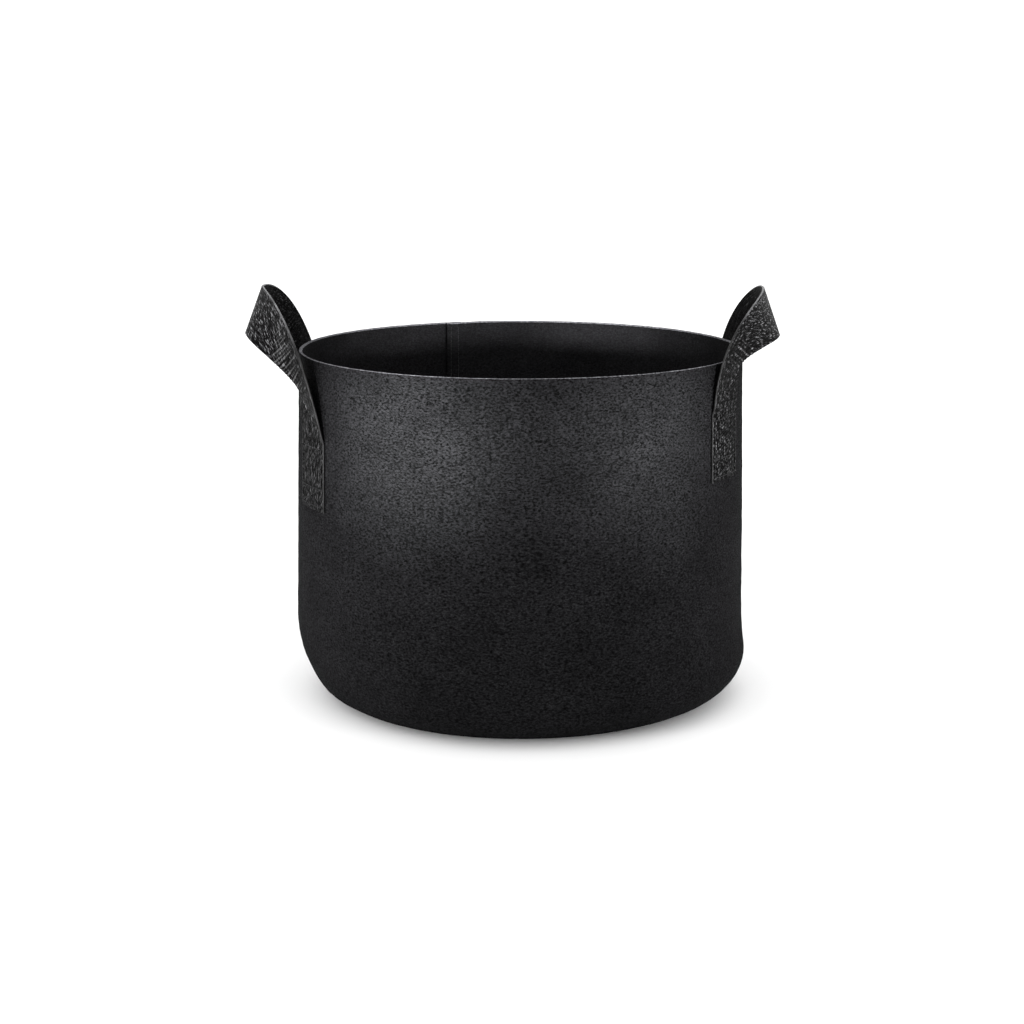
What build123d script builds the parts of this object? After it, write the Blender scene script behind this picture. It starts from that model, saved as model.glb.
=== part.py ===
from build123d import *
import os
from math import cos, degrees, radians, sin

# Fabric grow bag: a felt tube on a felt base, with a loop handle of flat webbing on each side.
# Origin at the centre of the underside, +Z up, handles at -X and +X. Millimetres.

# ---- felt body ----
HEIGHT = 239.0            # floor to the raw rim
RIM_RADIUS = 151.0        # outside, at the rim
BELLY_RADIUS = 154.5      # outside, where the bottom corner starts
CORNER_RADIUS = 36.0      # outside radius of the soft bottom corner
FELT = 2.5                # thickness of the felt
SEAM_ANGLE = 62.0         # where the base joins the wall, degrees round the bottom corner
ALLOWANCE = 8.0           # felt turned in past the base seam
LAP_WIDTH = 12.0          # overlap of the wall panel's two ends
LAP_AZIMUTH = 109.3       # place of that overlap, degrees from +X
LAP_BOTTOM = 44.0         # where that overlap ends, above the bottom corner

# ---- webbing and thread ----
WEB_WIDTH = 38.0
WEB = 1.5                 # thickness of the webbing
THREAD = 0.6              # width of a sewn line
PROUD = 0.4               # how far a sewn line stands above the cloth
STITCH_INSET = 3.0        # sewn line in from the webbing's edges
TACK_HEIGHT = 12.0        # height of the closed box of stitching at the foot of each leg
ROW_GAP = 6.0             # between the two rows along the wall seam
BEND_GAP = 0.4            # clear space where a strap folds
STAND_OFF = 0.65          # clear space between a loose strap and the felt

# ---- handles: each is described as if it stood at +X, then turned to its place ----
# Heights are above the floor and reaches are from the bag's axis. The strap leaves the wall along
# a slanting fold, and its upper and lower edges then follow one curve each up to the peak.
SPREAD = 23.2             # degrees from the middle of a handle to the middle of each leg
LEFT = {"turn": 183.2, "front": 1, "foot": 141.0, "sewn_top": 186.0, "flare": 14.7, "fold": 0.27,
        "upper": {"leaves": 191.8, "run": 90.5, "round": 21.7, "reach": 173.1, "peak": 282.1},
        "lower": {"leaves": 215.7, "run": 9.9, "round": 33.8, "reach": 185.4, "peak": 249.4}}
RIGHT = {"turn": -5.8, "front": -1, "foot": 162.0, "sewn_top": 206.0, "flare": 4.0, "fold": 0.27,
         "upper": {"leaves": 212.0, "run": 50.1, "round": 70.0, "reach": 163.2, "peak": 281.2},
         "lower": {"leaves": 232.0, "run": 9.0, "round": 33.1, "reach": 174.8, "peak": 248.7}}
NECK_STATIONS = 5         # from the slanting fold to the bend at the rim
GRIP_STATIONS = 9         # from the bend at the rim to the peak, on each half
STEP = 0.01               # share of a curve used to find its direction

CORNER_X = BELLY_RADIUS - CORNER_RADIUS


def wall_radius(z):
    """Outside radius of the felt wall at height z, above the bottom corner."""
    share = (z - CORNER_RADIUS) / (HEIGHT - CORNER_RADIUS)
    return BELLY_RADIUS + (RIM_RADIUS - BELLY_RADIUS) * share


def corner_sector(inner, outer, start, end):
    """Part of the bottom corner's section, angles in degrees below the horizontal."""
    centre = (CORNER_X, CORNER_RADIUS)
    outside = CenterArc(centre, outer, -start, start - end)
    inside = CenterArc(centre, inner, -start, start - end)
    return make_face([outside, Line(outside @ 0, inside @ 0), inside, Line(inside @ 1, outside @ 1)])


def wall_strip(inner, outer, bottom, top):
    """Section that follows the wall's slope, offset from its outside face by inner to outer."""
    low, high = wall_radius(bottom), wall_radius(top)
    corners = [(low + inner, bottom), (low + outer, bottom), (high + outer, top), (high + inner, top)]
    return make_face(Polyline(*corners, close=True))


def patch(inner, outer, bottom, top, azimuth, width):
    """Piece of cloth wrapped on the wall: width is measured round the bag."""
    angle = degrees(width / wall_radius((bottom + top) / 2))
    solid = revolve(Plane.XZ * wall_strip(inner, outer, bottom, top), Axis.Z, angle)
    return Rot(0, 0, azimuth - angle / 2) * solid


def seam_turn(depth):
    """Angle that a thickness takes up half way along the seam allowance."""
    return degrees(depth / (CORNER_RADIUS - FELT - ALLOWANCE / 2))


def wall_panel():
    tube = wall_strip(-FELT, 0, CORNER_RADIUS, HEIGHT)
    corner = corner_sector(CORNER_RADIUS - FELT, CORNER_RADIUS, 0, SEAM_ANGLE)
    turned_in = corner_sector(CORNER_RADIUS - FELT - ALLOWANCE, CORNER_RADIUS - FELT,
                              SEAM_ANGLE - seam_turn(FELT), SEAM_ANGLE)
    shell = revolve(Plane.XZ * (tube + corner + turned_in), Axis.Z, 360)
    lap = patch(-2 * FELT, -FELT, LAP_BOTTOM, HEIGHT, LAP_AZIMUTH, LAP_WIDTH)
    return shell + lap


def base_panel():
    disc = make_face(Polyline((0, 0), (CORNER_X, 0), (CORNER_X, FELT), (0, FELT), close=True))
    corner = corner_sector(CORNER_RADIUS - FELT, CORNER_RADIUS, SEAM_ANGLE, 90)
    turned_in = corner_sector(CORNER_RADIUS - FELT - ALLOWANCE, CORNER_RADIUS - FELT,
                              SEAM_ANGLE, SEAM_ANGLE + seam_turn(FELT))
    return revolve(Plane.XZ * (disc + corner + turned_in), Axis.Z, 360)


def wall_seam_thread():
    """Two rows down the lap, showing on the inside and on the outside."""
    turn = degrees(ROW_GAP / 2 / RIM_RADIUS)
    rows = []
    for azimuth in (LAP_AZIMUTH - turn, LAP_AZIMUTH + turn):
        rows.append(patch(-2 * FELT - PROUD, -2 * FELT, LAP_BOTTOM + 2, HEIGHT - 2, azimuth, THREAD))
        rows.append(patch(0, PROUD, LAP_BOTTOM + 2, HEIGHT - 2, azimuth, THREAD))
    return Compound(rows)


def base_seam_thread():
    """The row that holds the two seam allowances together, showing on both of them."""
    middle = CORNER_RADIUS - FELT - ALLOWANCE / 2
    rings = []
    for turn, proud in ((-seam_turn(FELT), -seam_turn(PROUD)), (seam_turn(FELT), seam_turn(PROUD))):
        start, end = sorted((SEAM_ANGLE + turn, SEAM_ANGLE + turn + proud))
        section = corner_sector(middle - THREAD / 2, middle + THREAD / 2, start, end)
        rings.append(revolve(Plane.XZ * section, Axis.Z, 360))
    return Compound(rings)


def placed(handle, shape):
    """A shape made at +X, turned to the handle's place on the bag."""
    return Rot(0, 0, handle["turn"]) * shape


def leg(handle, end):
    """Sewn part of the strap; end is -1 or 1 for the half at -Y or +Y before the handle is turned."""
    top = handle["sewn_top"] - BEND_GAP
    return placed(handle, patch(0, WEB, handle["foot"], top, end * SPREAD, WEB_WIDTH))


def leg_stitching(handle, end):
    """Sewn outline of a leg, with a closed box across its foot."""
    azimuth = end * SPREAD
    width = WEB_WIDTH - 2 * STITCH_INSET
    low, high = handle["foot"] + STITCH_INSET, handle["sewn_top"] - BEND_GAP - STITCH_INSET
    middle = low + TACK_HEIGHT
    outline = patch(WEB, WEB + PROUD, low, high, azimuth, width)
    for bottom, top in ((low, middle), (middle, high)):
        bottom, top = bottom + THREAD, top - THREAD
        outline -= patch(WEB / 2, WEB + 2 * PROUD, bottom, top, azimuth, width - 2 * THREAD)
    return placed(handle, outline)


def wall_point(name, height):
    """Where the upper or lower edge of a loose strap lies on the wall, in the half at -Y."""
    turn = radians(SPREAD)
    outward = Vector(cos(turn), -sin(turn), 0) * (wall_radius(height) + STAND_OFF + WEB / 2)
    across = Vector(-sin(turn), -cos(turn), 0) * (WEB_WIDTH / 2)
    return outward + (across if name == "upper" else -across) + Vector(0, 0, height)


def leaving(handle):
    """Direction of the strap once it has folded away from the wall."""
    fold = wall_point("lower", handle["lower"]["leaves"]) - wall_point("upper", handle["upper"]["leaves"])
    return Vector(0, 0, 1).rotate(Axis((0, 0, 0), fold), handle["flare"])


def edge_point(handle, name, t):
    """Point on one edge: t runs from -1 at the sewn top to 0 at the slanting fold and 1 at the peak."""
    edge = handle[name]
    if t < 0:
        return wall_point(name, edge["leaves"] + (edge["leaves"] - handle["sewn_top"]) * t)
    start = wall_point(name, edge["leaves"])
    peak = Vector(edge["reach"], 0, edge["peak"])
    points = [start, start + leaving(handle) * edge["run"], peak - Vector(0, edge["round"], 0), peak]
    s = 1 - t
    return points[0] * s**3 + points[1] * (3 * s * s * t) + points[2] * (3 * s * t * t) + points[3] * t**3


def strap_corners(handle, t):
    """Corners of the webbing's cross-section in the half at -Y."""
    upper, lower = edge_point(handle, "upper", t), edge_point(handle, "lower", t)
    ahead, behind = ((edge_point(handle, "upper", t + d) + edge_point(handle, "lower", t + d)) / 2
                     for d in (STEP, -STEP))
    half_web = (ahead - behind).cross(upper - lower).normalized() * (WEB / 2)
    return [upper + half_web, upper - half_web, lower - half_web, lower + half_web]


def strap_section(handle, t, end):
    """Cross-section of the webbing, in the half at -Y (end -1) or mirrored to +Y (end 1)."""
    return make_face(Polyline(*[(p.X, -end * p.Y, p.Z) for p in strap_corners(handle, t)], close=True))


def neck(handle, end):
    """Loose strap between the sewn leg and the bend at the rim."""
    stations = [-1.0] + [handle["fold"] * i / (NECK_STATIONS - 1) for i in range(NECK_STATIONS)]
    return placed(handle, loft([strap_section(handle, t, end) for t in stations], ruled=True))


def lower_edge_speed(handle):
    """Length of the lower edge per unit of t at the bend by the rim."""
    ahead, behind = (edge_point(handle, "lower", handle["fold"] + d) for d in (STEP, -STEP))
    return (ahead - behind).length / (2 * STEP)


def grip(handle):
    """The loop above the bend at the rim, from one end to the other over the peak."""
    start = handle["fold"] + BEND_GAP / lower_edge_speed(handle)
    stations = [start + (1 - start) * i / (GRIP_STATIONS - 1) for i in range(GRIP_STATIONS)]
    one_half = [strap_section(handle, t, -1) for t in stations]
    other_half = [strap_section(handle, t, 1) for t in reversed(stations[:-1])]
    return placed(handle, loft(one_half + other_half, ruled=True))


def build_nodes():
    nodes = {
        "wall_panel": wall_panel(),
        "base_panel": base_panel(),
        "wall_seam_thread": wall_seam_thread(),
        "base_seam_thread": base_seam_thread(),
    }
    for name, handle in (("left", LEFT), ("right", RIGHT)):
        for place, end in (("front", handle["front"]), ("back", -handle["front"])):
            nodes[f"{name}_handle_{place}_leg"] = leg(handle, end)
            nodes[f"{name}_handle_{place}_stitching"] = leg_stitching(handle, end)
            nodes[f"{name}_handle_{place}_neck"] = neck(handle, end)
        nodes[f"{name}_handle_grip"] = grip(handle)
    return nodes


os.makedirs("parts", exist_ok=True)
for node, shape in build_nodes().items():
    shape.label = node
    export_step(shape, f"parts/{node}.step")
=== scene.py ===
from math import cos, pi, radians, sin

import bpy
import numpy as np
from mathutils import Matrix, Vector, noise


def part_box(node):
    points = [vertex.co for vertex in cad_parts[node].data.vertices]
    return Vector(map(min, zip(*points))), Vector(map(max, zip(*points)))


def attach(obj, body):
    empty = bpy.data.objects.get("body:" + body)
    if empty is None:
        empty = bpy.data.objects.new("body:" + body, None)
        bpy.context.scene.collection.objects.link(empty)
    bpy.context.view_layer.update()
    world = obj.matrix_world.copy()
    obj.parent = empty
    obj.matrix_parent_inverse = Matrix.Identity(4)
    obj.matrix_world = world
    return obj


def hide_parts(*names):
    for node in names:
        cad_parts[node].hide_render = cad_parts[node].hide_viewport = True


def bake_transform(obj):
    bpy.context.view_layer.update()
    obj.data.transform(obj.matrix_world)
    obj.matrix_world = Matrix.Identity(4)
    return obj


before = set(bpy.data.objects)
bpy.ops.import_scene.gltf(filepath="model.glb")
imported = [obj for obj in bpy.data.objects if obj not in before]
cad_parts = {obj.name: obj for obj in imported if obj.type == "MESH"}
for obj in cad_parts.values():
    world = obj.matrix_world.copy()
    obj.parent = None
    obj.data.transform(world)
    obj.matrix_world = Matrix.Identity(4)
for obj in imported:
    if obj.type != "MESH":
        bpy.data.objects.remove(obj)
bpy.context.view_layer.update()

# Fabric grow bag: black felt tube and base, a webbing loop handle on each side. Metres.

MM = 0.001

# ---- sizes read from the frame ----
wall_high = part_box("wall_panel")[1]
HEIGHT = wall_high[2]
BELLY_RADIUS = wall_high[0]

# ---- felt ----
RIM_NARROWING = 3.5 * MM      # the rim is this much tighter than the belly
CORNER_RADIUS = 36 * MM
FELT = 2.5 * MM
SEAM_ANGLE = radians(62)      # where the base joins, measured round the bottom corner
SEAM_BEND = 2.2 * MM          # how tightly each panel's edge turns in there
SEAM_EASE = 30 * MM           # height over which the wall's waves grow above the seam
ALLOWANCE = 8 * MM
SQUEEZE = 0.12 * MM           # how far the thread presses each panel's felt in at the base seam
LAP_WIDTH = 12 * MM
LAP_AZIMUTH = radians(109.3)
LAP_BOTTOM = 44 * MM
LAP_TURN = LAP_WIDTH / (BELLY_RADIUS - RIM_NARROWING)   # the lap's width as an angle
LAP_EASE = 1.3                # lap widths over which the wall moves in to pass under itself
LAP_STEP = FELT + 0.25 * MM   # how far in it moves
ROW_GAP = 6 * MM              # between the two rows of stitches down the lap
SEAM_TOP = 15 * MM            # no turned-in edge of the base seam stands higher
WAVE = 1.3 * MM               # height of the wall's slow waves
LUMP = 0.22 * MM              # height of its small unevenness
GRAIN = 0.12 * MM             # height of the felt's tufts
SAG, SAG_FROM, SAG_OVER = 5.5 * MM, 30 * MM, 90 * MM      # at -X: how far in, from where, over what
FILL, FILL_FROM, FILL_OVER = 2.4 * MM, 60 * MM, 70 * MM   # at +X: how far out, from where, over what
SLUMP_HEIGHT, SLUMP_REACH = 22 * MM, 20 * MM              # where both are most, and how far they reach
EDGE_ROWS = 3                 # mesh rows that round a cut edge
WALL_COLUMNS = 400
BASE_COLUMNS = 300
BASE_FLAT_ROWS = 40
BASE_BEND_ROWS = 7

# ---- webbing ----
WEB_WIDTH = 38 * MM
WEB = 1.5 * MM
WEB_ROUND = 0.9 * MM          # how far in from its edges the webbing is rounded
SEWN_GAP = 0.05 * MM          # from the wall to the sewn webbing
STAND_OFF = 0.65 * MM         # from the wall to the webbing that lies loose against it
SPREAD = radians(23.2)        # from the middle of a handle to the middle of each leg
WEB_STEP = 0.4 * MM           # mesh spacing along a strap
WEB_STRANDS = 72              # mesh spacing across a strap
YARN = 1.7 * MM               # width of one warp yarn
FLOAT = 2.1 * MM              # length of one visible warp float
YARN_HEIGHT = 0.34 * MM
TWILL = 0.25                  # step from one yarn's floats to the next, as a share of a float
FOLD_PASSES = 10              # rounds of smoothing at the slanting fold
FOLD_REACH = 2.5 * MM         # how far from the fold they reach
CREASE = 2.4 * MM             # spacing of the creases across a neck
CREASE_HEIGHT = 0.7 * MM
CREASES_START, CREASES_FULL = 0.05, 0.17    # shares of the loose strap
CREASES_FADE, CREASES_END = 0.36, 0.52

# ---- painted light on the webbing, from 0, painted shade, to 1, painted highlight ----
# the painted light's base level, on the legs and necks
LEG_LIGHT = 0.33
LOOP_LIGHT = 0.47              # painted light added round the loop
LOOP_FROM, LOOP_OVER = 20 * MM, 40 * MM     # where that begins past the fold, and how soon it is full
FOLD_HIGHLIGHT = 0.46              # painted highlight added along the fold
FOLD_LINE = 1.1 * MM
CREASE_HIGHLIGHT = 1.45            # painted highlight added on a crease's ridge
HOLLOW_SHADE = 0.45            # painted shade: taken away between creases

# ---- thread ----
STITCH = 3.2 * MM             # from one stitch to the next
STITCH_INSET = 3 * MM
TACK_HEIGHT = 12 * MM
THREAD_RADIUS = 0.33 * MM
STITCH_STEPS = 5
STITCH_SIDES = 6

# ---- lengths below and above the bend by the rim, along a line across it ----
RIM_BELOW, RIM_ABOVE = 8 * MM, 14 * MM

# Each handle is described as if it stood at +X, as in the CAD, then turned to its place. The lengths of its
# edges are in millimetres: the height where each leaves the wall, its first run, its rounding at the peak,
# and the peak's place. "bend" is the share of the loose strap at the bend by the rim, and "front" is the
# side, +Y or -Y, of the half that is at the bag's front once the handle is turned.
HANDLES = {
    "left": {"turn": radians(183.2), "front": 1, "flare": radians(14.7), "bend": 0.27,
             "upper": {"leaves": 191.8, "run": 90.5, "round": 21.7, "reach": 173.1, "peak": 282.1},
             "lower": {"leaves": 215.7, "run": 9.9, "round": 33.8, "reach": 185.4, "peak": 249.4}},
    "right": {"turn": radians(-5.8), "front": -1, "flare": radians(4.0), "bend": 0.27,
              "upper": {"leaves": 212.0, "run": 50.1, "round": 70.0, "reach": 163.2, "peak": 281.2},
              "lower": {"leaves": 232.0, "run": 9.0, "round": 33.1, "reach": 174.8, "peak": 248.7}},
}
BODY_CUT = 0.05               # share of the loose strap that belongs to the sewn piece


# ---------------------------------------------------------------- small tools

def smooth(x):
    x = np.clip(x, 0, 1)
    return x * x * (3 - 2 * x)


def unit(v):
    return v / np.maximum(np.linalg.norm(v, axis=-1, keepdims=True), 1e-12)


def roughness(points, grain, offset=0.0):
    """Smooth noise from -1 to 1 at each point; grain is its size along X, Y and Z."""
    flat = (points / np.array(grain) + offset).reshape(-1, 3)
    values = np.fromiter((noise.noise(p) for p in flat.tolist()), float, len(flat))
    return values.reshape(points.shape[:-1])


def make_object(name, points, faces, smooth_faces=True):
    mesh = bpy.data.meshes.new(name)
    mesh.from_pydata(np.asarray(points, float).reshape(-1, 3).tolist(), [], faces)
    mesh.validate()
    mesh.polygons.foreach_set("use_smooth", [smooth_faces] * len(mesh.polygons))
    obj = bpy.data.objects.new(name, mesh)
    bpy.context.scene.collection.objects.link(obj)
    return obj


def grid_faces(rows, columns, start=0, close_rows=False, close_columns=False):
    """Quads of a grid numbered row by row."""
    last_row = rows if close_rows else rows - 1
    last_column = columns if close_columns else columns - 1
    faces = []
    for i in range(last_row):
        a, b = start + i * columns, start + (i + 1) % rows * columns
        for j in range(last_column):
            k = (j + 1) % columns
            faces.append((a + j, a + k, b + k, b + j))
    return faces


# ---------------------------------------------------------------- felt sheets

def rounded_section(middle, normal):
    """Closed loop of rows round a sheet: its outer face, a rounded edge, its inner face, a rounded edge."""
    half = FELT / 2
    outer, inner = middle + normal * half, middle - normal * half
    last = unit(middle[-1] - middle[-2])
    first = unit(middle[0] - middle[1])
    angles = [pi / 2 - pi * k / (EDGE_ROWS + 1) for k in range(1, EDGE_ROWS + 1)]
    end_rows = [middle[-1] + (normal[-1] * sin(a) + last * cos(a) * 0.7) * half for a in angles]
    start_rows = [middle[0] + (-normal[0] * sin(a) + first * cos(a) * 0.7) * half for a in angles]
    return np.concatenate([outer, end_rows, inner[::-1], start_rows])


def arc(centre, radius, start, end, count):
    angle = np.linspace(start, end, count)
    return np.stack([centre[0] + radius * np.cos(angle), centre[1] + radius * np.sin(angle)], -1)


def seam_turn(side, corner):
    """Edge of a panel turned in at the base seam, as (radius, height) points; side -1 wall, 1 base."""
    along = np.array([-sin(SEAM_ANGLE), -cos(SEAM_ANGLE)])
    inward = np.array([-cos(SEAM_ANGLE), sin(SEAM_ANGLE)])
    seam = np.array(corner) - inward * (CORNER_RADIUS - FELT / 2)
    lean = FELT / 2 - SQUEEZE
    turn = [seam + along * side * (lean + SEAM_BEND * (1 - sin(a))) + inward * SEAM_BEND * (1 - cos(a))
            for a in np.linspace(0, pi / 2, 5)]
    straight = [seam + along * side * lean + inward * (SEAM_BEND + ALLOWANCE * k / 3) for k in range(1, 4)]
    return np.array(turn + straight), (lean + SEAM_BEND) / (CORNER_RADIUS - FELT / 2)


def corner_centre():
    return BELLY_RADIUS - CORNER_RADIUS, CORNER_RADIUS


def wall_profile():
    """Middle of the wall's felt from the rim down to the turned-in edge."""
    corner = corner_centre()
    turned, used = seam_turn(-1, corner)
    top = [BELLY_RADIUS - RIM_NARROWING - FELT / 2, HEIGHT - FELT * 0.35]
    bottom = [BELLY_RADIUS - FELT / 2, CORNER_RADIUS]
    straight = np.linspace(top, bottom, 84)
    bend = arc(corner, CORNER_RADIUS - FELT / 2, 0, -(SEAM_ANGLE - used), 16)[1:]
    return np.concatenate([straight, bend, turned[1:]])


def base_profile():
    """Middle of the base's felt from near its centre out to the turned-in edge."""
    corner = corner_centre()
    turned, used = seam_turn(1, corner)
    flat = np.linspace([3 * MM, FELT / 2], [corner[0], FELT / 2], BASE_FLAT_ROWS)
    bend = arc(corner, CORNER_RADIUS - FELT / 2, -pi / 2, -(SEAM_ANGLE + used), BASE_BEND_ROWS + 1)[1:]
    return np.concatenate([flat, bend, turned[1:]])


def spin(profile, azimuth):
    """Grid of points and normals from a (radius, height) profile."""
    tangent = unit(np.gradient(profile, axis=0))
    side = np.stack([tangent[:, 1], -tangent[:, 0]], -1)
    c, s = np.cos(azimuth), np.sin(azimuth)

    def place(flat):
        return np.stack([flat[:, None, 0] * c, flat[:, None, 0] * s,
                         np.repeat(flat[:, 1:2], len(azimuth), 1)], -1)
    return place(profile), place(side)


def above_seam(points):
    """How free the wall is to wave, from 0 at the base seam to 1 well above it."""
    return smooth((points[..., 2] - SEAM_TOP) / SEAM_EASE)


def wall_waves(points):
    """Slow waves of standing felt, which die out at the base seam."""
    return roughness(points, (90 * MM, 90 * MM, 140 * MM), 3.1) * WAVE * above_seam(points)


def soften(middle, normal):
    """Slow waves and fine unevenness of standing felt."""
    lumps = roughness(middle, (16 * MM, 16 * MM, 10 * MM), 7.7) * LUMP
    return middle + normal * (wall_waves(middle) + lumps * (0.3 + 0.7 * above_seam(middle)))[..., None]


def slump(points):
    """The bottom corner sags rounder at -X, and fills out at +X."""
    sag = smooth((-points[..., 0] - SAG_FROM) / SAG_OVER) * SAG
    bulge = smooth((points[..., 0] - FILL_FROM) / FILL_OVER) * FILL
    height = np.exp(-((points[..., 2] - SLUMP_HEIGHT) / SLUMP_REACH) ** 2)
    inward = -unit(points * np.array([1, 1, 0]))
    return points + inward * ((sag - bulge) * height)[..., None]


def felt_grain(rows):
    """Fine pits and tufts on a finished surface."""
    return roughness(rows, (4.5 * MM, 4.5 * MM, 2.2 * MM), 12.3) * GRAIN


def under_lap(azimuth):
    """Share of its step in that the wall has taken at an azimuth, on its way to pass under itself."""
    start = LAP_AZIMUTH - (0.5 + LAP_EASE) * LAP_TURN
    return smooth((azimuth - start) / (LAP_EASE * LAP_TURN))


def follow_lap(middle, azimuth, rows_flat, rows_bend):
    """The base's edge drawn up to the wall where the wall steps in beside the lap, as the seam holds it."""
    edge = smooth((np.arange(len(middle)) - rows_flat) / rows_bend)
    drawn = np.where(azimuth < LAP_AZIMUTH - LAP_TURN / 2, under_lap(azimuth), 0) * LAP_STEP
    towards_wall = np.stack([sin(SEAM_ANGLE) * np.cos(azimuth), sin(SEAM_ANGLE) * np.sin(azimuth),
                             np.full(len(azimuth), cos(SEAM_ANGLE))], -1)
    return middle + edge[:, None, None] * (drawn[:, None] * towards_wall)[None]


def build_wall():
    """The wall, and a number for each face: 0 outside, 1 the cut rim, 2 inside."""
    azimuth = np.linspace(LAP_AZIMUTH - LAP_TURN / 2, LAP_AZIMUTH + LAP_TURN / 2 + 2 * pi, WALL_COLUMNS)
    profile = wall_profile()
    middle, inward = spin(profile, azimuth)
    normal = -inward
    under = under_lap(azimuth - 2 * pi)
    middle = soften(middle, normal) - normal * (under * LAP_STEP)[None, :, None]
    middle = slump(middle)
    rows = rounded_section(middle, normal)
    count = len(rows)
    centres = np.concatenate([middle, np.repeat(middle[-1:], EDGE_ROWS, 0), middle[::-1],
                              np.repeat(middle[:1], EDGE_ROWS, 0)])
    rows = rows + unit(rows - centres) * felt_grain(rows)[..., None]
    faces = grid_faces(count, WALL_COLUMNS, close_rows=True)
    n = len(profile)
    for column in (0, WALL_COLUMNS - 1):
        for i in range(n - 1):
            inner = n + EDGE_ROWS + (n - 1 - i)
            quad = [i, i + 1, inner - 1, inner]
            ids = [r * WALL_COLUMNS + column for r in quad]
            faces.append(tuple(ids if column == 0 else ids[::-1]))
    piece = make_object("felt_wall", rows, faces)
    inside, cut = range(n + EDGE_ROWS, 2 * n + EDGE_ROWS - 1), range(count - EDGE_ROWS - 1, count)
    tones = []
    for face in piece.data.polygons:
        row = min(face.vertices[0], face.vertices[-1]) // WALL_COLUMNS
        tones.append(1 if row in cut else 2 if row in inside else 0)
    return piece, tones


def build_base():
    azimuth = np.linspace(0, 2 * pi, BASE_COLUMNS, endpoint=False)
    profile = base_profile()
    middle, normal = spin(profile, azimuth)
    middle = follow_lap(middle, azimuth, BASE_FLAT_ROWS, BASE_BEND_ROWS)
    rows = rounded_section(slump(middle), normal)[:2 * len(profile) + EDGE_ROWS]
    lift = np.where(rows[..., 2] > FELT / 2, felt_grain(rows) * 1.5, 0)
    rows = rows + np.stack([0 * lift, 0 * lift, np.abs(lift)], -1)
    faces = grid_faces(len(rows), BASE_COLUMNS, close_columns=True)
    points = rows.reshape(-1, 3).tolist()
    under, over = len(points), len(points) + 1
    points += [[0, 0, 0], [0, 0, FELT]]
    last = (len(rows) - 1) * BASE_COLUMNS
    for j in range(BASE_COLUMNS):
        k = (j + 1) % BASE_COLUMNS
        faces.append((under, k, j))
        faces.append((over, last + j, last + k))
    return make_object("felt_base", points, faces)


# ---------------------------------------------------------------- straps

def wall_radius(z):
    share = (z - CORNER_RADIUS) / (HEIGHT - CORNER_RADIUS)
    return BELLY_RADIUS - RIM_NARROWING * share


def handle_facts(name):
    """A handle's shape values, in metres, with the heights that the frame gives."""
    facts = dict(HANDLES[name])
    for edge in ("upper", "lower"):
        facts[edge] = {key: value * MM for key, value in facts[edge].items()}
    low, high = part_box(f"{name}_handle_front_leg")
    facts["foot"], facts["sewn_top"] = low[2], high[2]
    return facts


def turned(points, facts):
    """Points made at +X, turned to the handle's place on the bag."""
    c, s = cos(facts["turn"]), sin(facts["turn"])
    return np.asarray(points) @ np.array([[c, s, 0], [-s, c, 0], [0, 0, 1]])


def chord_point(across, height):
    """A flat loose strap lying against the wall, in the half at -Y."""
    outward = np.array([cos(SPREAD), -sin(SPREAD), 0])
    sideways = np.array([-sin(SPREAD), -cos(SPREAD), 0])
    up = np.array([0, 0, 1])
    radius = wall_radius(height) + STAND_OFF + WEB / 2
    return outward * radius[..., None] + sideways * across[..., None] + up * height[..., None]


def wrapped_point(across, height):
    """A strap sewn down on the wall, in the half at -Y."""
    radius = wall_radius(height) + WEB / 2 + SEWN_GAP
    angle = -SPREAD - across / radius
    return np.stack([radius * np.cos(angle), radius * np.sin(angle), height], -1)


def edge_line(facts, name, t):
    """One edge of the loose strap; t runs from 0 at the slanting fold to 1 at the peak."""
    signs = {"upper": 1, "lower": -1}
    folds = {key: chord_point(np.array(sign * WEB_WIDTH / 2), np.array(facts[key]["leaves"]))
             for key, sign in signs.items()}
    fold = Vector(folds["lower"] - folds["upper"])
    up = Vector((0, 0, 1))
    up.rotate(Matrix.Rotation(facts["flare"], 3, fold.normalized()))
    edge = facts[name]
    peak = np.array([edge["reach"], 0, edge["peak"]])
    points = [folds[name], folds[name] + np.array(up) * edge["run"],
              peak - np.array([0, edge["round"], 0]), peak]
    t = np.asarray(t)[:, None]
    s = 1 - t
    shares = (s**3, 3 * s * s * t, 3 * s * t * t, t**3)
    return sum(point * share for point, share in zip(points, shares))


def path_length(points):
    return np.concatenate([np.zeros((1, *points.shape[1:-1])),
                           np.cumsum(np.linalg.norm(np.diff(points, axis=0), axis=-1), axis=0)])


def even_stations(facts):
    """Values of t at an even spacing along the middle of the loose strap."""
    fine = np.linspace(0, 1, 2001)
    middle = (edge_line(facts, "upper", fine) + edge_line(facts, "lower", fine)) / 2
    length = path_length(middle)
    return np.interp(np.linspace(0, length[-1], int(round(length[-1] / WEB_STEP)) + 1), length, fine)


def creases(free, t, share):
    """Sharp creases square to the neck, where the strap turns: their height, 0 to 1, and where they are."""
    middle = free[:, WEB_STRANDS // 2]
    neck = middle[(t > CREASES_START) & (t < 0.4)]
    length = (free - middle[0]) @ unit(neck[-1] - neck[0])
    waver = 0.3 * np.sin(3 * share[None, :] + 1.3 * length / CREASE)
    ridge = (1 - np.abs(np.sin(pi * length / CREASE + waver))) ** 1.1
    uneven = 0.75 + 0.25 * np.sin(2.9 * length / CREASE + 3 * share[None, :])
    along = smooth((t - CREASES_START) / (CREASES_FULL - CREASES_START))
    along = along * (1 - smooth((t - CREASES_FADE) / (CREASES_END - CREASES_FADE)))
    side = smooth((0.99 - share) / 0.3) * (1 - 0.5 * share) * (0.6 + 0.4 * smooth(share / 0.1))
    return ridge * uneven, along[:, None] * side[None, :]


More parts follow.
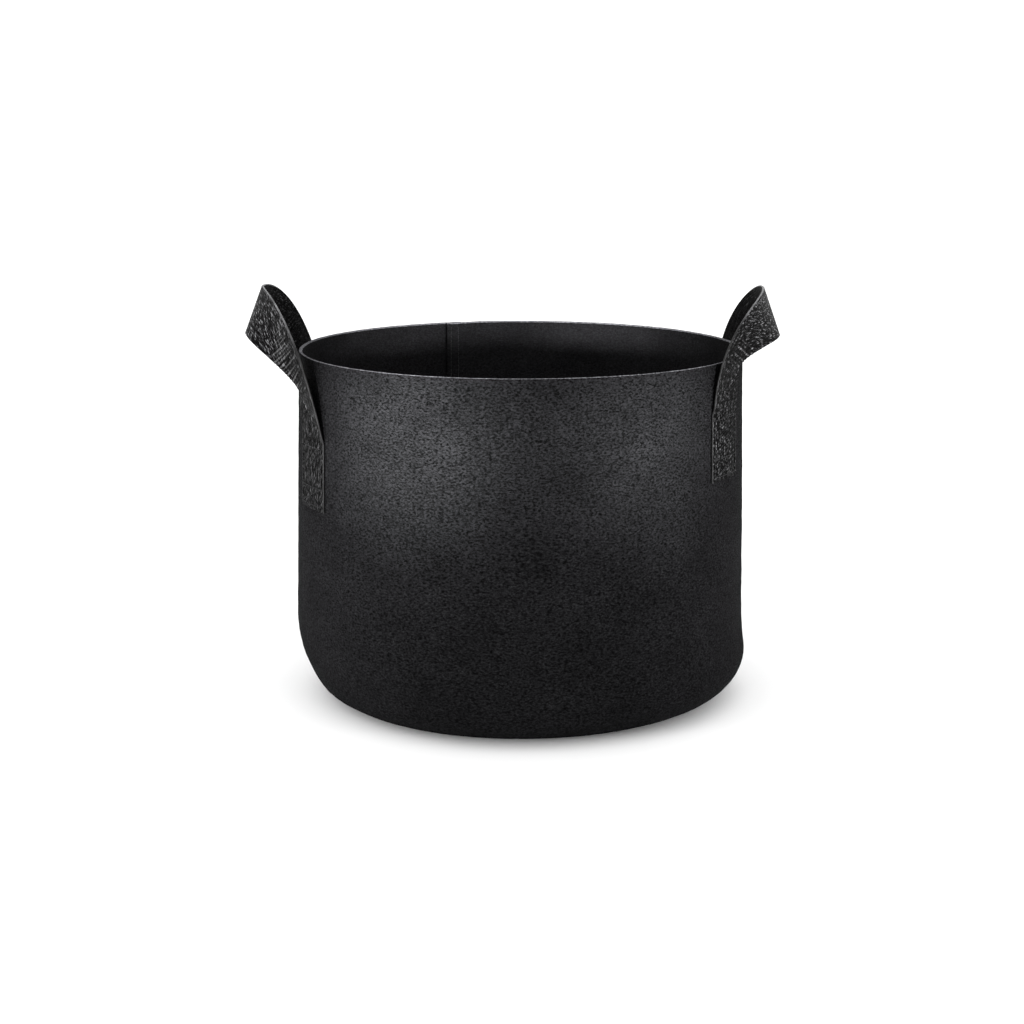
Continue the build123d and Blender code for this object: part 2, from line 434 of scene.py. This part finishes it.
def sewn_rows(facts, across, share):
    """The strap from its foot up to the slanting fold: sewn to the wall, then lying loose against it."""
    fold_height = facts["lower"]["leaves"] * (1 - share) + facts["upper"]["leaves"] * share
    rows = int(round((fold_height.mean() - facts["foot"]) / WEB_STEP))
    climb = np.linspace(0, 1, rows + 1)[:-1, None]
    height = facts["foot"] + (fold_height - facts["foot"])[None, :] * climb
    loosened = smooth((height - facts["sewn_top"]) / (fold_height - facts["sewn_top"])[None, :])[..., None]
    spread = np.broadcast_to(across, height.shape)
    return wrapped_point(spread, height) * (1 - loosened) + chord_point(spread, height) * loosened


def round_fold(surface, from_fold):
    """The slanting fold, rounded as stiff webbing rounds it."""
    soft = surface.copy()
    for _ in range(FOLD_PASSES):
        soft[1:-1] = (soft[:-2] + 2 * soft[1:-1] + soft[2:]) / 4
    near = np.exp(-(from_fold / FOLD_REACH) ** 2)[:, None, None]
    return surface * (1 - near) + soft * near


def fold_and_loop_light(from_fold, share):
    """Painted light on the strap before its creases are added: more round the loop, and a painted highlight
    along the fold.
    """
    loop = smooth((from_fold - LOOP_FROM) / LOOP_OVER)[:, None] * np.ones((1, len(share)))
    fold = np.exp(-(from_fold / FOLD_LINE) ** 2)[:, None] * (1 - smooth((share - 0.7) / 0.25))
    return LEG_LIGHT + LOOP_LIGHT * loop + FOLD_HIGHLIGHT * fold


def strap_surface(facts):
    """Middle surface of the half of a strap at -Y, from foot to peak, its painted light, and the row of its
    cut.
    """
    across = np.linspace(-1, 1, WEB_STRANDS + 1) * WEB_WIDTH / 2
    share = across / WEB_WIDTH + 0.5
    sewn_part = sewn_rows(facts, across, share)
    rows = len(sewn_part)
    t = even_stations(facts)
    upper, lower = edge_line(facts, "upper", t), edge_line(facts, "lower", t)
    free = lower[:, None] * (1 - share)[None, :, None] + upper[:, None] * share[None, :, None]
    surface = np.concatenate([sewn_part, free])
    from_fold = (np.arange(len(surface)) - rows) * WEB_STEP
    surface = round_fold(surface, from_fold)
    ridge, here = creases(free, t, share)
    lift = np.zeros(surface.shape[:2])
    lift[rows:] = CREASE_HEIGHT * (ridge - 0.3) * here
    surface = surface - surface_normal(surface) * lift[..., None]
    painted_light = fold_and_loop_light(from_fold, share)
    # painted highlight on each crease's ridge, and painted shade in the hollows between
    painted_light[rows:] += (CREASE_HIGHLIGHT * ridge - HOLLOW_SHADE) * here
    cut = rows + int(np.argmin(np.abs(t - BODY_CUT)))
    return surface, np.clip(painted_light, 0, 1), cut


def surface_normal(surface):
    """Unit normals, which point in towards the bag."""
    return unit(np.cross(np.gradient(surface, axis=1), np.gradient(surface, axis=0)))


def weave_place(distance, across):
    """Place in the weave: floats along the strap, stepped as in a twill, and yarns across it."""
    return distance / FLOAT + across / YARN * TWILL, across / YARN


def weave(distance, across):
    """Height of the yarns above the strap's middle, as a share from 0 to 1."""
    along, yarn = weave_place(distance, across[None, :])
    ridge = np.abs(np.sin(pi * yarn)) ** 0.6
    float_shape = np.abs(np.sin(pi * along)) ** 0.5
    return ridge * (0.3 + 0.7 * float_shape)


def strap_rows(surface, distance):
    """Closed cross-sections, with the yarns standing up on both faces."""
    normal = surface_normal(surface)
    across = np.linspace(-1, 1, surface.shape[1]) * WEB_WIDTH / 2
    edge = np.clip((WEB_WIDTH / 2 - np.abs(across)) / WEB_ROUND, 0, 1)
    profile = np.sqrt(1 - (1 - edge) ** 2)
    faces = []
    for side, shift in ((1, 0.0), (-1, FLOAT / 2)):
        relief = (weave(distance + shift, across) - 0.6) * YARN_HEIGHT
        faces.append(surface + normal * (side * (WEB / 2 + relief) * profile)[..., None])
    return np.concatenate([faces[0], faces[1][:, -2:0:-1]], axis=1)


def build_strap(name, surface, distance, painted_light):
    loops = strap_rows(surface, distance)
    rows, columns = loops.shape[:2]
    width = surface.shape[1]
    faces = grid_faces(rows, columns, close_columns=True)
    points = loops.reshape(-1, 3).tolist()
    for start, flip in ((0, False), ((rows - 1) * columns, True)):
        for j in range(width - 1):
            quad = list(dict.fromkeys((start + j, start + (columns - j) % columns,
                                       start + (columns - j - 1) % columns, start + j + 1)))
            faces.append(tuple(quad[::-1] if flip else quad))
    obj = make_object(name, points, faces)
    ends = set(range(columns)) | set(range((rows - 1) * columns, rows * columns))
    for edge in obj.data.edges:
        edge.use_edge_sharp = ends.issuperset(edge.vertices)
    across = np.linspace(-1, 1, width) * WEB_WIDTH / 2
    both_sides = np.concatenate([np.arange(width), np.arange(width - 2, 0, -1)])
    place = weave_place(distance[:, both_sides], np.broadcast_to(across[both_sides], (rows, columns)))
    uv = np.stack(place, -1).reshape(-1, 2)
    loop_index = np.zeros(len(obj.data.loops), int)
    obj.data.loops.foreach_get("vertex_index", loop_index)
    obj.data.uv_layers.new(name="weave").data.foreach_set("uv", uv[loop_index].ravel())
    # the painted light, stored on the points for the materials
    painted_layer = obj.data.attributes.new("painted_light", "FLOAT", "POINT")
    painted_layer.data.foreach_set("value", painted_light[:, both_sides].ravel())
    return obj


# ---------------------------------------------------------------- stitches

def stitch_points(start, end, lift):
    """One stitch: a short bulging thread between two points on the cloth."""
    axis = end - start
    length = np.linalg.norm(axis)
    along = axis / length
    side = unit(np.cross(along, lift))
    points = []
    for i in range(STITCH_STEPS + 1):
        share = i / STITCH_STEPS
        centre = start + axis * share + lift * THREAD_RADIUS * (1.1 * sin(pi * share) - 0.25)
        thick = THREAD_RADIUS * (0.35 + 0.65 * sin(pi * min(max(share, 0.08), 0.92)) ** 0.5)
        for j in range(STITCH_SIDES):
            a = 2 * pi * j / STITCH_SIDES
            points.append(centre + (side * cos(a) + lift * sin(a)) * thick)
    return points


def build_stitches(name, runs):
    """A piece of thread from (start, end, lift) runs, one for each stitch."""
    points, faces = [], []
    for start, end, lift in runs:
        first = len(points)
        last = first + STITCH_STEPS * STITCH_SIDES
        points += stitch_points(start, end, lift)
        faces += [f[::-1] for f in grid_faces(STITCH_STEPS + 1, STITCH_SIDES, first, close_columns=True)]
        faces.append(tuple(first + j for j in range(STITCH_SIDES)))
        faces.append(tuple(last + j for j in reversed(range(STITCH_SIDES))))
    return make_object(name, points, faces)


def sewn(line, count, surface):
    """Stitches along a line from its first to its second end; surface gives a place's point and normal."""
    start, end = np.array(line[0], float), np.array(line[1], float)
    runs = []
    for i in range(count):
        ends = [start + (end - start) * (i + share) / count for share in (0.1, 0.9)]
        (first, lift), (second, _) = (surface(*place) for place in ends)
        runs.append((first, second, lift))
    return runs


def leg_stitches(facts, end):
    """Rows round a leg, with a crossed box over its foot."""
    half = WEB_WIDTH / 2 - STITCH_INSET
    low, high = facts["foot"] + STITCH_INSET, facts["sewn_top"] - STITCH_INSET
    tack = low + TACK_HEIGHT

    def surface(across, height):
        angle = -SPREAD - across / wall_radius(height)
        normal = np.array([cos(angle), sin(angle), 0])
        point = normal * (wall_radius(height) + WEB + 0.12 * MM) + np.array([0, 0, height])
        flip = np.array([1, -end, 1])
        return turned(point * flip, facts), turned(normal * flip, facts)
    lines = [((-half, low), (half, low)), ((-half, tack), (half, tack)), ((-half, high), (half, high)),
             ((-half, low), (-half, high)), ((half, low), (half, high)),
             ((-half, low), (half, tack)), ((-half, tack), (half, low))]
    runs = []
    for line in lines:
        length = np.linalg.norm(np.subtract(*line))
        runs += sewn(line, int(round(length / STITCH)), surface)
    return runs


def lap_stitches():
    """Two rows down the wall's lap, on the outside and on the inside."""
    runs = []
    count = int(round((HEIGHT - LAP_BOTTOM) / STITCH))
    for depth, facing in ((0.05 * MM, 1), (-2 * FELT - 0.35 * MM, -1)):
        def surface(azimuth, height):
            normal = np.array([cos(azimuth), sin(azimuth), 0])
            point = normal * (wall_radius(height) + depth + slow_wave(azimuth, height))
            return point + np.array([0, 0, height]), normal * facing
        for side in (-1, 1):
            azimuth = LAP_AZIMUTH + side * ROW_GAP / 2 / BELLY_RADIUS
            runs += sewn(((azimuth, LAP_BOTTOM + 2 * MM), (azimuth, HEIGHT - 3 * MM)), count, surface)
    return runs


def slow_wave(azimuth, height):
    """The wall's slow wave at one place, as soften() gives it."""
    radius = wall_radius(height) - FELT / 2
    point = np.array([[radius * cos(azimuth), radius * sin(azimuth), height]])
    return float(wall_waves(point)[0])


def base_stitches():
    """The row through the two seam allowances, on both of them."""
    corner = corner_centre()
    runs = []
    for side in (-1, 1):
        profile = seam_turn(side, corner)[0][-3:]
        radius, height = profile.mean(axis=0)
        along = np.array([-sin(SEAM_ANGLE), -cos(SEAM_ANGLE)]) * side * (FELT / 2 + 0.1 * MM)
        radius, height = radius + along[0], height + along[1]
        tilt = unit(along)

        def surface(azimuth, _):
            out = np.array([cos(azimuth), sin(azimuth), 0])
            return slump(out * radius + np.array([0, 0, height])), out * tilt[0] + np.array([0, 0, tilt[1]])
        count = int(round(2 * pi * radius / STITCH))
        runs += sewn(((0, 0), (2 * pi, 0)), count, surface)
    return runs


# ---------------------------------------------------------------- materials

def new_material(name):
    material = bpy.data.materials.new(name)
    material.use_nodes = True
    tree = material.node_tree
    return material, tree.nodes, tree.links, tree.nodes["Principled BSDF"]


def add(nodes, kind, **values):
    node = nodes.new(kind)
    for key, value in values.items():
        setattr(node, key, value)
    return node


def mapped(nodes, links, scale, output="Object"):
    coords = add(nodes, "ShaderNodeTexCoord")
    mapping = add(nodes, "ShaderNodeMapping")
    mapping.inputs["Scale"].default_value = scale
    links.new(coords.outputs[output], mapping.inputs["Vector"])
    return mapping.outputs["Vector"]


def noise_texture(nodes, links, vector, scale, detail=4.0, rough=0.6):
    texture = add(nodes, "ShaderNodeTexNoise")
    texture.inputs["Scale"].default_value = scale
    texture.inputs["Detail"].default_value = detail
    texture.inputs["Roughness"].default_value = rough
    links.new(vector, texture.inputs["Vector"])
    return texture.outputs["Fac"]


def ramp(nodes, links, factor, stops):
    node = add(nodes, "ShaderNodeValToRGB")
    elements = node.color_ramp.elements
    while len(elements) < len(stops):
        elements.new(0.5)
    for element, (place, colour) in zip(elements, stops):
        element.position = place
        element.color = (*colour, 1)
    links.new(factor, node.inputs["Fac"])
    return node.outputs["Color"]


def mix(nodes, links, a, b, factor, blend="MIX"):
    node = add(nodes, "ShaderNodeMix", data_type="RGBA", blend_type=blend)
    node.inputs["Factor"].default_value = factor
    links.new(a, node.inputs["A"])
    links.new(b, node.inputs["B"])
    return node.outputs["Result"]


def bump(nodes, links, height, strength, distance, normal=None):
    node = add(nodes, "ShaderNodeBump")
    node.inputs["Strength"].default_value = strength
    node.inputs["Distance"].default_value = distance
    links.new(height, node.inputs["Height"])
    if normal is not None:
        links.new(normal, node.inputs["Normal"])
    return node.outputs["Normal"]


def felt_material(name, dark, light, low, high):
    """Needled felt: the greys of its hollows and tufts, and how pale it is near the floor and higher up,
    which paints shade and light by height.
    """
    material, nodes, links, shader = new_material(name)
    mottled = noise_texture(nodes, links, mapped(nodes, links, (1, 1, 1.7)), 560, 4, 0.6)
    broad = noise_texture(nodes, links, mapped(nodes, links, (1, 1, 1.4)), 24, 4, 0.6)
    fibres = noise_texture(nodes, links, mapped(nodes, links, (1, 1, 2.6)), 1050, 4, 0.65)
    greys = [(grey, grey, grey * 1.07) for grey in (dark, light)]
    colour = ramp(nodes, links, mottled, [(0.36, greys[0]), (0.66, greys[1])])
    patches = ramp(nodes, links, broad, [(0.32, (0.68,) * 3), (0.68, (1.0,) * 3)])
    strands = ramp(nodes, links, fibres, [(0.38, (0.42,) * 3), (0.62, (1.0,) * 3)])
    height = add(nodes, "ShaderNodeSeparateXYZ")
    links.new(mapped(nodes, links, (1, 1, 1 / HEIGHT)), height.inputs["Vector"])
    # painted shade and light by height: the colour is scaled from low near the floor to high higher up
    painted_light_by_height = ramp(nodes, links, height.outputs["Z"], [(0.04, (low,) * 3), (0.42, (high,) * 3)])
    for layer in (painted_light_by_height, patches, strands):
        colour = mix(nodes, links, colour, layer, 1.0, "MULTIPLY")
    links.new(colour, shader.inputs["Base Color"])
    shader.inputs["Roughness"].default_value = 0.95
    shader.inputs["Specular IOR Level"].default_value = 0.02
    coarse = bump(nodes, links, mottled, 1.0, 0.0012)
    links.new(bump(nodes, links, fibres, 0.9, 0.0006, coarse), shader.inputs["Normal"])
    return material


def webbing_material(name="black_webbing", gain=1.0, shine=0.015):
    """Coarse polypropylene webbing: warp floats painted pale as their glints over gaps in painted shade, the
    strap's painted light, and a painted highlight on creases; gain scales the greys, for a copy in painted
    shade.
    """
    material, nodes, links, shader = new_material(name)
    uv = add(nodes, "ShaderNodeTexCoord").outputs["UV"]
    yarns = add(nodes, "ShaderNodeTexBrick", offset=0.0, squash=1.0)
    links.new(uv, yarns.inputs["Vector"])
    values = {"Scale": 1.0, "Brick Width": 1.0, "Row Height": 1.0, "Mortar Size": 0.26,
              "Mortar Smooth": 1.0, "Bias": -0.1}
    for key, value in values.items():
        yarns.inputs[key].default_value = value
    # painted light: the floats' tops are painted pale as their glints, and the gaps between them dark as
    # shade
    for key, grey in (("Color1", 0.006 * gain), ("Color2", 0.42 * gain), ("Mortar", 0.006 * gain)):
        yarns.inputs[key].default_value = (grey, grey, grey * 1.03, 1)
    speckle = noise_texture(nodes, links, mapped(nodes, links, (1.2, 1.0, 1), "UV"), 0.85, 1, 0.6)
    specks = ramp(nodes, links, speckle, [(0.485, (0.015,) * 3), (0.625, (1.0,) * 3)])
    filaments = noise_texture(nodes, links, mapped(nodes, links, (1, 5, 1), "UV"), 2.2, 3, 0.6)
    painted_light = add(nodes, "ShaderNodeAttribute", attribute_name="painted_light").outputs["Fac"]
    # painted light: darker in painted shade, paler towards painted highlights
    painted_layer = ramp(nodes, links, painted_light, [(0.2, (0.1,) * 3), (0.5, (0.4,) * 3), (0.95, (1.0,) * 3)])
    colour = yarns.outputs["Color"]
    for layer in (specks, painted_layer):
        colour = mix(nodes, links, colour, layer, 1.0, "MULTIPLY")
    # painted highlight on the crests of creases, broken up by the speckle
    crease_highlight = ramp(nodes, links, painted_light, [(0.8, (0.0,) * 3), (1.0, (0.14 * gain,) * 3)])
    broken = ramp(nodes, links, speckle, [(0.38, (0.3,) * 3), (0.6, (1.0,) * 3)])
    crease_highlight = mix(nodes, links, crease_highlight, broken, 1.0, "MULTIPLY")
    links.new(mix(nodes, links, colour, crease_highlight, 1.0, "LIGHTEN"), shader.inputs["Base Color"])
    shader.inputs["Roughness"].default_value = 0.5
    shader.inputs["Specular IOR Level"].default_value = shine
    links.new(bump(nodes, links, filaments, 0.6, 0.0002), shader.inputs["Normal"])
    return material


def selvedge_highlight_material():
    """The strap's woven edge, painted pale as a highlight where the strap's painted light is high."""
    material, nodes, links, shader = new_material("webbing_selvedge_highlight")
    patchy = noise_texture(nodes, links, mapped(nodes, links, (1, 1, 1), "UV"), 0.3, 3, 0.6)
    # painted highlight: pale greys, kept only where the painted light is high, round the loop
    colour = ramp(nodes, links, patchy, [(0.3, (0.04, 0.04, 0.041)), (0.68, (0.22, 0.22, 0.227))])
    painted_light = add(nodes, "ShaderNodeAttribute", attribute_name="painted_light").outputs["Fac"]
    painted_layer = ramp(nodes, links, painted_light, [(0.5, (0.06,) * 3), (0.85, (1.0,) * 3)])
    links.new(mix(nodes, links, colour, painted_layer, 1.0, "MULTIPLY"), shader.inputs["Base Color"])
    shader.inputs["Roughness"].default_value = 0.5
    shader.inputs["Specular IOR Level"].default_value = 0.2
    links.new(bump(nodes, links, patchy, 0.5, 0.0003), shader.inputs["Normal"])
    return material


def thread_material():
    material, nodes, links, shader = new_material("black_thread")
    twist = noise_texture(nodes, links, mapped(nodes, links, (1, 1, 1)), 2600, 2, 0.5)
    colour = ramp(nodes, links, twist, [(0.35, (0.003, 0.003, 0.003)), (0.65, (0.016, 0.016, 0.017))])
    links.new(colour, shader.inputs["Base Color"])
    shader.inputs["Specular IOR Level"].default_value = 0.1
    shader.inputs["Roughness"].default_value = 0.5
    links.new(bump(nodes, links, twist, 0.5, 0.0002), shader.inputs["Normal"])
    return material


def floor_material():
    material, nodes, links, shader = new_material("pale_floor")
    grain = noise_texture(nodes, links, mapped(nodes, links, (1, 1, 1)), 6, 2, 0.5)
    colour = ramp(nodes, links, grain, [(0.3, (0.93, 0.93, 0.93)), (0.7, (0.95, 0.95, 0.95))])
    links.new(colour, shader.inputs["Base Color"])
    shader.inputs["Roughness"].default_value = 0.9
    shader.inputs["Specular IOR Level"].default_value = 0.1
    return material


# painted shade: the outside felt is darker towards the floor
FELT_LOOK = felt_material("black_felt", 0.0014, 0.0245, 0.72, 1.0)
# partly painted highlight: the cut rim is paler for its cut fibres and as a painted highlight of its lit top
RIM_HIGHLIGHT_LOOK = felt_material("cut_felt_edge_highlight", 0.08, 0.30, 1.0, 1.0)
# painted light: a paler copy of the felt for the inside, palest at the bottom and darker higher up
INSIDE_PAINTED_LIGHT_LOOK = felt_material("felt_inside_painted_light", 0.024, 0.062, 1.0, 0.34)
WEB_LOOK = webbing_material()
# painted shade: the webbing's underside, which faces the bag, is a copy darkened to a fifth
WEB_SHADED_UNDERSIDE_LOOK = webbing_material("webbing_underside_painted_shade", 0.2, 0.01)
# painted highlight on the straps' upper edge
WEB_EDGE_HIGHLIGHT_LOOK = selvedge_highlight_material()
THREAD_LOOK = thread_material()


def finish_piece(piece, look, nodes, body="bag"):
    piece.data.materials.append(look)
    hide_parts(*nodes)
    if body:
        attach(piece, body)
    return piece


# ---------------------------------------------------------------- assembly

wall, wall_tones = build_wall()
finish_piece(wall, FELT_LOOK, ["wall_panel"])
wall.data.materials.append(RIM_HIGHLIGHT_LOOK)
wall.data.materials.append(INSIDE_PAINTED_LIGHT_LOOK)
wall.data.polygons.foreach_set("material_index", wall_tones)
base = finish_piece(build_base(), FELT_LOOK, ["base_panel"])
lap_rows = finish_piece(build_stitches("lap_stitches", lap_stitches()), THREAD_LOOK,
                        ["wall_seam_thread"])
base_row = finish_piece(build_stitches("base_stitches", base_stitches()), THREAD_LOOK,
                        ["base_seam_thread"])


def tone_strap(piece):
    """Webbing outside, its underside in painted shade, and the selvedge of its upper edge in a painted
    highlight.
    """
    piece.data.materials.append(WEB_SHADED_UNDERSIDE_LOOK)
    piece.data.materials.append(WEB_EDGE_HIGHLIGHT_LOOK)
    columns = 2 * WEB_STRANDS
    tones = []
    for face in piece.data.polygons:
        places = sorted({v % columns for v in face.vertices})
        # the upper edge takes the selvedge's painted highlight, and the inner face the underside's painted
        # shade
        if WEB_STRANDS in places:
            tones.append(2)
        else:
            tones.append(1 if places[-1] <= WEB_STRANDS else 0)
    piece.data.polygons.foreach_set("material_index", tones)


def bend_direction(facts):
    """Direction across the bend at the rim, in the handle's upright plane, and the bend's place along it."""
    upper, lower = (edge_line(facts, name, [facts["bend"]])[0] for name in ("upper", "lower"))
    ruling = upper - lower
    across = unit(np.array([ruling[2], 0, -ruling[0]]))
    return (across if across[0] > 0 else -across), upper


def build_handle(name):
    facts = handle_facts(name)
    surface, painted_light, cut = strap_surface(facts)
    full = np.concatenate([surface, surface[-2::-1] * np.array([1, -1, 1])])
    painted_light = np.concatenate([painted_light, painted_light[-2::-1]])
    distance = path_length(full)
    last = len(full) - 1 - cut
    near, far = ("front", "back") if facts["front"] < 0 else ("back", "front")
    spans = {near: slice(0, cut + 1), "grip": slice(cut, last + 1), far: slice(last, len(full))}
    placed = turned(full, facts)
    for part, span in spans.items():
        piece = build_strap(f"{name}_strap_{part}", placed[span], distance[span], painted_light[span])
        if part == "grip":
            finish_piece(piece, WEB_LOOK, [f"{name}_handle_grip"], None)
            tone_strap(piece)
            across, place = bend_direction(facts)
            centre = np.array([place[0], 0, place[2]])
            start, end = turned([centre - across * RIM_BELOW, centre + across * RIM_ABOVE], facts)
            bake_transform(piece)
            continue
        nodes = [f"{name}_handle_{part}_leg", f"{name}_handle_{part}_neck"]
        finish_piece(piece, WEB_LOOK, nodes, None)
        tone_strap(piece)
        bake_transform(piece)
        end = -1 if part == near else 1
        rows = build_stitches(f"{name}_{part}_stitches", leg_stitches(facts, end))
        finish_piece(rows, THREAD_LOOK, [f"{name}_handle_{part}_stitching"])


for handle_name in HANDLES:
    build_handle(handle_name)

# ---------------------------------------------------------------- stage, lights and camera

floor_points = [(-6, -6, 0), (6, -6, 0), (6, 6, 0), (-6, 6, 0)]
floor = make_object("floor", floor_points, [(0, 1, 2, 3)], False)
floor.data.materials.append(floor_material())

scene = bpy.context.scene
scene.view_settings.view_transform = "Standard"
world = bpy.data.worlds.new("studio")
world.use_nodes = True
world.node_tree.nodes["Background"].inputs["Color"].default_value = (1, 1, 1, 1)
world.node_tree.nodes["Background"].inputs["Strength"].default_value = 1.5
scene.world = world


def area_light(name, place, target, size, power, spread):
    data = bpy.data.lights.new(name, "AREA")
    data.shape, data.size, data.energy = "DISK", size, power
    data.spread = spread
    lamp = bpy.data.objects.new(name, data)
    lamp.location = place
    lamp.rotation_euler = (Vector(target) - Vector(place)).to_track_quat("-Z", "Y").to_euler()
    scene.collection.objects.link(lamp)


area_light("key", (-0.48, -1.01, 0.27), (-0.070, -0.132, 0.203), 0.1, 0.34, radians(9))
area_light("fill", (0.60, -0.96, 0.27), (0.079, -0.127, 0.200), 0.1, 0.20, radians(9))
area_light("left_side", (-0.97, -0.52, 0.10), (-0.09, -0.06, 0.06), 0.25, 0.42, radians(24))
area_light("right_side", (0.97, -0.52, 0.10), (0.09, -0.06, 0.06), 0.25, 0.24, radians(24))

CAMERA_PITCH = radians(11.87)
camera_data = bpy.data.cameras.new("camera")
camera_data.lens = 75.76
camera = bpy.data.objects.new("camera", camera_data)
camera.location = (-0.0056, -1.4587, 0.4307)
camera.rotation_euler = (pi / 2 - CAMERA_PITCH, 0, 0)
scene.collection.objects.link(camera)
scene.camera = camera
